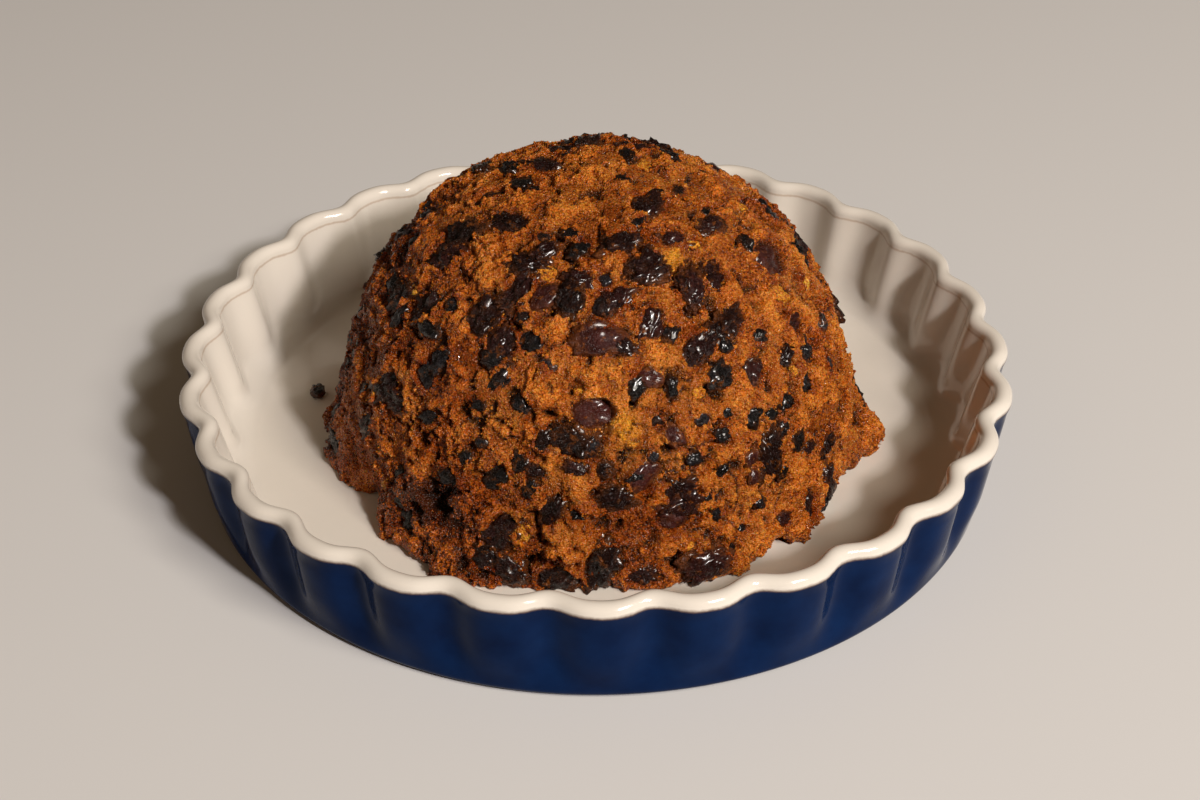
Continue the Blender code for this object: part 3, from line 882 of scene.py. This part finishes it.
def seat_fruit(points, height, fruit):
    """Tears the crumb open over the fruit, and sinks its heights between fruits that lie close.

    Returns where fruit shows, and where the crumb is stained round the fruit or gets painted shade
    at its torn edge and where it is sunk between fruits, both from 0 to 1.
    """
    gap, second, floor = fruit_gap(points, fruit)
    frayed = ((0.0010, 0.0050, (6.0, 2.0, 4.0)), (0.0007, 0.0024, (3.0, 3.0, 1.0)))
    edge = layered(points, *frayed, start=gap)
    shelf = smooth_step(-0.0005, 0.0004, edge + 0.0006)
    shown = (1.0 - smooth_step(-0.0014, -0.0003, gap)) * (1.0 - shelf)
    rim = np.exp(-(((edge - 0.0004) / 0.0009) ** 2))
    height += SHELF_RIM_H * shelf * rim - SHELF_DEPTH * (1.0 - shelf)
    height += shown * (np.minimum(floor, height) - height)
    between = smooth_step(0.0046, 0.0020, np.maximum(gap, 0.0) + np.maximum(second, 0.0))
    broken = layered(points, (1.0, 0.0060, (1.0, 5.0, 2.0)), (0.4, 0.0018, (7.0, 1.0, 3.0)))
    between *= smooth_step(-0.20, 0.10, broken)
    between *= smooth_step(-0.0004, 0.0004, gap)
    height -= BETWEEN_DEPTH * between
    patches = ((1.1, 0.0048, (8.0, 1.0, 5.0)), (0.5, 0.0019, (2.0, 9.0, 3.0)))
    soaked = np.clip(layered(points, *patches, start=0.5), 0.0, 1.0)
    stain = np.exp(-((np.maximum(gap, 0.0) / STAIN_REACH) ** 2)) * soaked
    # the stain round the fruit is the crumb's own; its torn edge and the crumb sunk between fruits
    # get painted shade
    return shown, np.maximum(np.maximum(1.0 - shelf, stain), 0.9 * between)


def make_core(fruit, look):
    """The crumb itself; returns its points and normals, and where it is covered and torn."""
    lattice, quads = cube_grid(CORE_STEPS, 0)
    sides = np.tan(lattice / CORE_STEPS * math.pi / 4.0)
    elevation = np.degrees(np.arctan2(sides[:, 2], np.hypot(sides[:, 0], sides[:, 1])))
    azimuth = np.degrees(np.arctan2(sides[:, 0], -sides[:, 1]))
    points = surface(azimuth, elevation)
    normals = normals_of(points, quads)
    height, ragged = crumb_relief(points)
    sunk_here = CRUMB_SUNK * smooth_step(0.0, 0.010, points[:, 2] - FOOT_Z)
    height -= sunk_here
    dig_hollows(points, height)
    covered, torn = seat_fruit(points, height, fruit)
    moved = points + normals * height[:, None]
    foot = moved[:, 2] - FOOT_Z
    ragged_foot = 1.0 + 1.6 * sample(points, 0.006, (3.0, 0.0, 5.0))
    undercut = UNDERCUT_DEPTH * np.exp(-foot / UNDERCUT_H) * ragged_foot
    moved -= heading(azimuth) * undercut[:, None]
    moved[:, 2] = np.maximum(moved[:, 2], FOOT_Z)
    rim = np.nonzero(lattice[:, 2] == 0)[0]
    moved[rim, 2] = FOOT_Z
    order = rim[np.argsort(np.arctan2(moved[rim, 1], moved[rim, 0]))]
    faces = quads.tolist() + [order[::-1].tolist()]
    relief = height + sunk_here
    values = {
        # painted shade, the darker the deeper the crumb is sunk
        "hollow_shade": np.clip(smooth_step(0.0004, 0.0024, -relief) * 0.9, 0.0, 1.0),
        "wet": wetness(moved),
        # real stains, with painted shade in cracks, lower terraces, torn edges and between fruits
        "torn": np.maximum(torn, ragged),
        # paler where the crumb stands high, which is painted light, then its tone with painted
        # light and shade
        "tint": smooth_step(-0.0002, 0.0012, relief) * 0.08 + shade(moved),
        "golden": golden(moved),
    }
    add_piece("pudding_crumb", moved, faces, look, ["pudding"], values)
    return (moved, normals), covered, torn


def turned_at_random(count, rng):
    """Random rotation matrices."""
    q = rng.normal(size=(count, 4))
    w, x, y, z = (q / np.linalg.norm(q, axis=1, keepdims=True)).T
    rows = [
        [1 - 2 * (y * y + z * z), 2 * (x * y - z * w), 2 * (x * z + y * w)],
        [2 * (x * y + z * w), 1 - 2 * (x * x + z * z), 2 * (y * z - x * w)],
        [2 * (x * z - y * w), 2 * (y * z + x * w), 1 - 2 * (x * x + y * y)],
    ]
    return np.moveaxis(np.array(rows), 2, 0)


def scatter(name, core, share, settings, template, look, rng):
    """One piece of ragged little bodies of crumb, the more of them the greater the share."""
    points, normals = core
    corners, triangles = template
    count, least, more, power, sunk, rough = settings
    picked = rng.choice(len(points), count, replace=False, p=share / share.sum())
    radii = least + more * rng.random(count) ** power
    middles = points[picked] - normals[picked] * (radii * sunk)[:, None]
    shapes = corners[None] * (1.0 + rough * rng.normal(size=(count, len(corners), 1)))
    shapes *= rng.uniform(0.65, 1.25, (count, 1, 3))
    shapes = np.einsum("nij,nkj->nki", turned_at_random(count, rng), shapes)
    bodies = middles[:, None] + shapes * radii[:, None, None]
    everything, faces = joined(corners, triangles, list(bodies))
    everything[:, 2] = np.maximum(everything[:, 2], FOOT_Z)
    # tone with painted light and shade, like the crumb under each body
    tint = rng.normal(0.02, 0.13, count) + shade(middles)
    values = {"tint": tint, "wet": wetness(middles), "golden": golden(middles)}
    values = {label: np.repeat(value, len(corners)) for label, value in values.items()}
    return add_piece(name, everything, faces, look, [], values)


def add_crumbs(core, covered, torn, look, shiny, rng):
    """Clods, most of them where the crumb is torn, and grains all over it."""
    bare = np.clip(1.0 - covered, 0.04, 1.0)
    at_edge = bare * (0.12 + 4.0 * torn * (1.0 - torn))
    scatter("crumb_clods", core, at_edge, CLODS, icosphere(2), look, rng)
    grains = scatter("crumb_grains", core, bare, GRAINS, octahedron(), shiny, rng)
    grains.data.shade_flat()


# ---- dish


def arc(centre, size, start, end, count):
    """Points (radius, height) on an arc, its angles in degrees up from the outward direction."""
    angle = np.radians(np.linspace(start, end, count))
    return list(zip(centre[0] + size * np.cos(angle), centre[1] + size * np.sin(angle)))


def flute(angle):
    """How far the wall stands out at an angle round the dish, in flute depths."""
    phase = FLUTES * (angle - FLUTE_TURN)
    return -0.5 * (np.cos(phase) + FLUTE_SHARPEN * np.cos(2.0 * phase))


def dish_profile():
    """Points (radius, height) from the floor's middle over the lip to the base's middle.

    The index of the lip's top comes with them.
    """
    bead = LIP / 2.0
    floor = [(radius, FLOOR) for radius in np.linspace(0.004, FLAT_R, 14)[:-1]]
    cove = arc((FLAT_R, FLOOR + COVE), COVE, -90, -8, 12)
    lip = arc((RIM_R - bead, DISH_H - bead), bead, 180, -20, 19)
    inner = [tuple(point) for point in np.linspace(cove[-1], lip[0], 9)[1:-1]]
    below = (RIM_R - UNDERCUT, DISH_H - LIP)
    middle = ((RIM_R - UNDERCUT + 2 * BASE_R) / 3, FLUTE_FULL * 0.8)
    corner = arc((BASE_R - CORNER, CORNER), CORNER, 0, -90, 6)
    upper = [tuple(point) for point in np.linspace(below, middle, 8)]
    lower = [tuple(point) for point in np.linspace(middle, corner[0], 6)[1:-1]]
    base = [(radius, 0.0) for radius in np.linspace(corner[-1][0], 0.004, 8)[1:]]
    profile = floor + cove + inner + lip + upper + lower + corner + base
    top = len(floor) + len(cove) + len(inner) + int(np.argmax([point[1] for point in lip]))
    return np.array(profile), top


def add_dish():
    """The dish, turned from its profile and fluted, with a glaze for each of its colours."""
    profile, top = dish_profile()
    steps = FLUTES * STEPS_PER_FLUTE
    angle = np.arange(steps) * math.tau / steps
    radius, height = profile[:, 0:1], profile[:, 1:2]
    rise = smooth_step(FLUTE_LOW, FLUTE_FULL, height)
    outward = smooth_step(FLAT_R, FLAT_R + COVE, radius)
    grown = radius + FLUTE_DEPTH * flute(angle)[None] * rise * outward
    level = np.broadcast_to(height, grown.shape)
    points = np.stack([grown * np.cos(angle), grown * np.sin(angle), level], 2)
    count = len(profile)
    index = np.arange(count * steps).reshape(count, steps)
    after = np.roll(index, -1, axis=1)
    quads = np.stack([index[:-1], after[:-1], after[1:], index[1:]], 2).reshape(-1, 4)
    faces = quads.tolist() + [index[0][::-1].tolist(), index[-1].tolist()]
    faces = [face[::-1] for face in faces]
    way = np.concatenate([[0.0], np.cumsum(np.hypot(*np.diff(profile, axis=0).T))])
    rim = np.repeat((way - way[top]) * 1000.0, steps)
    points = points.reshape(-1, 3)
    white = glaze_look("white_glaze", 0.5)
    dish = add_piece("stoneware_dish", points, faces, white, ["dish"], {"rim": rim})
    dish.data.materials.append(glaze_look("navy_glaze", 0.03))
    outside = np.array([rim[face[0]] > NAVY_FROM for face in faces])
    dish.data.polygons.foreach_set("material_index", outside.astype(np.int32))


# ---- studio


def add_floor():
    place = (0.0, 0.0, CAD_BOX[0][2] - FLOOR_BELOW)
    bpy.ops.mesh.primitive_plane_add(size=FLOOR_SIZE, location=place)
    floor = bpy.context.object
    floor.name = "floor"
    look = Look("floor", Roughness=0.6)
    look.set("Base Color", look.mix(look.noise(0.4, 2.0), *FLOOR_GREYS))
    floor.data.materials.append(look.material)


def add_light(name, azimuth, elevation, distance, size, power, colour):
    """A square lamp that faces the pudding."""
    lamp = bpy.data.lights.new(name, "AREA")
    lamp.size = size
    lamp.energy = power
    lamp.color = colour
    light = bpy.data.objects.new(name, lamp)
    around = Matrix.Rotation(math.radians(azimuth), 4, "Z")
    tilt = Matrix.Rotation(math.radians(90.0 - elevation), 4, "X")
    back = Matrix.Translation((0, 0, distance))
    light.matrix_world = Matrix.Translation(LAMPS_AIM) @ around @ tilt @ back
    bpy.context.scene.collection.objects.link(light)


def add_studio():
    add_floor()
    for name, settings in LAMPS.items():
        add_light(name, *settings)
    world = bpy.data.worlds.new("studio")
    world.use_nodes = True
    background = world.node_tree.nodes["Background"]
    background.inputs["Color"].default_value = ROOM_COLOUR
    background.inputs["Strength"].default_value = ROOM_LIGHT
    bpy.context.scene.world = world
    bpy.context.scene.view_settings.view_transform = "Standard"


def add_camera():
    camera = bpy.data.objects.new("camera", bpy.data.cameras.new("camera"))
    camera.data.sensor_width = CAMERA_SENSOR
    camera.data.lens = CAMERA_LENS
    yaw = Matrix.Rotation(math.radians(CAMERA_YAW), 4, "Z")
    pitch = Matrix.Rotation(math.radians(90.0 - CAMERA_DOWN), 4, "X")
    roll = Matrix.Rotation(CAMERA_ROLL, 4, "Z")
    camera.matrix_world = Matrix.Translation(CAMERA_PLACE) @ yaw @ pitch @ roll
    bpy.context.scene.collection.objects.link(camera)
    bpy.context.scene.camera = camera


def add_all_fruit(raisins, currants, amber, names, rng):
    """The three kinds of fruit, and the currant that has dropped into the dish."""
    fine, plain = ball(6), ball(4)
    raisin = fruit_look("raisin", RAISIN_STOPS, 0.20, 0.0019, 1.06)
    tints = rng.random(len(raisins[0])) * PALEST_RAISIN
    azimuths, elevations, pale = np.array(PLUMP_RAISINS, float).T
    for spot, tint in zip(surface(azimuths, elevations), pale):
        tints[np.argmin(np.sum((raisins[0] - spot) ** 2, axis=1))] = tint
    add_fruit("raisins", fine, raisins, raisin, names, tints)
    currant = fruit_look("currant", CURRANT_STOPS, 0.22, 0.0016, 1.20)
    tints = rng.random(len(currants[0])) * PALEST_CURRANT
    add_fruit("currants", plain, currants, currant, [], tints)
    peel = crumb_look("sultana", PEEL_STOPS)
    tints = rng.uniform(*PEEL_TINTS, len(amber[0]))
    add_fruit("sultanas", fine, amber, peel, [], tints)
    low, high = (np.array(corner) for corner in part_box("loose_currant"))
    loose = ((low + high)[None] / 2.0, np.eye(3)[None], (high - low)[None] / 2.0)
    tints = [DROPPED_TINT]
    add_fruit("dropped_currant", fine, loose, currant, ["loose_currant"], tints)


def main():
    rng = np.random.default_rng(SEED)
    add_camera()
    own, names = cad_fruit()
    rear = spread_fruit(own + RAISINS + CURRANTS + AMBER, rng)
    raisins = fruit_places(own + RAISINS + rear["raisin"], *SHAPES["raisin"], rng)
    currants = fruit_places(CURRANTS + rear["currant"], *SHAPES["currant"], rng)
    amber = fruit_places(AMBER + rear["amber"], *SHAPES["amber"], rng)
    crumb = crumb_look("crumb", CRUMB_STOPS)
    shiny = crumb_look("crumb_grain", CRUMB_STOPS, 0.9, 0.14)
    core, covered, torn = make_core([raisins, currants, amber], crumb)
    add_crumbs(core, covered, torn, crumb, shiny, rng)
    add_all_fruit(raisins, currants, amber, names, rng)
    add_dish()
    add_studio()


main()
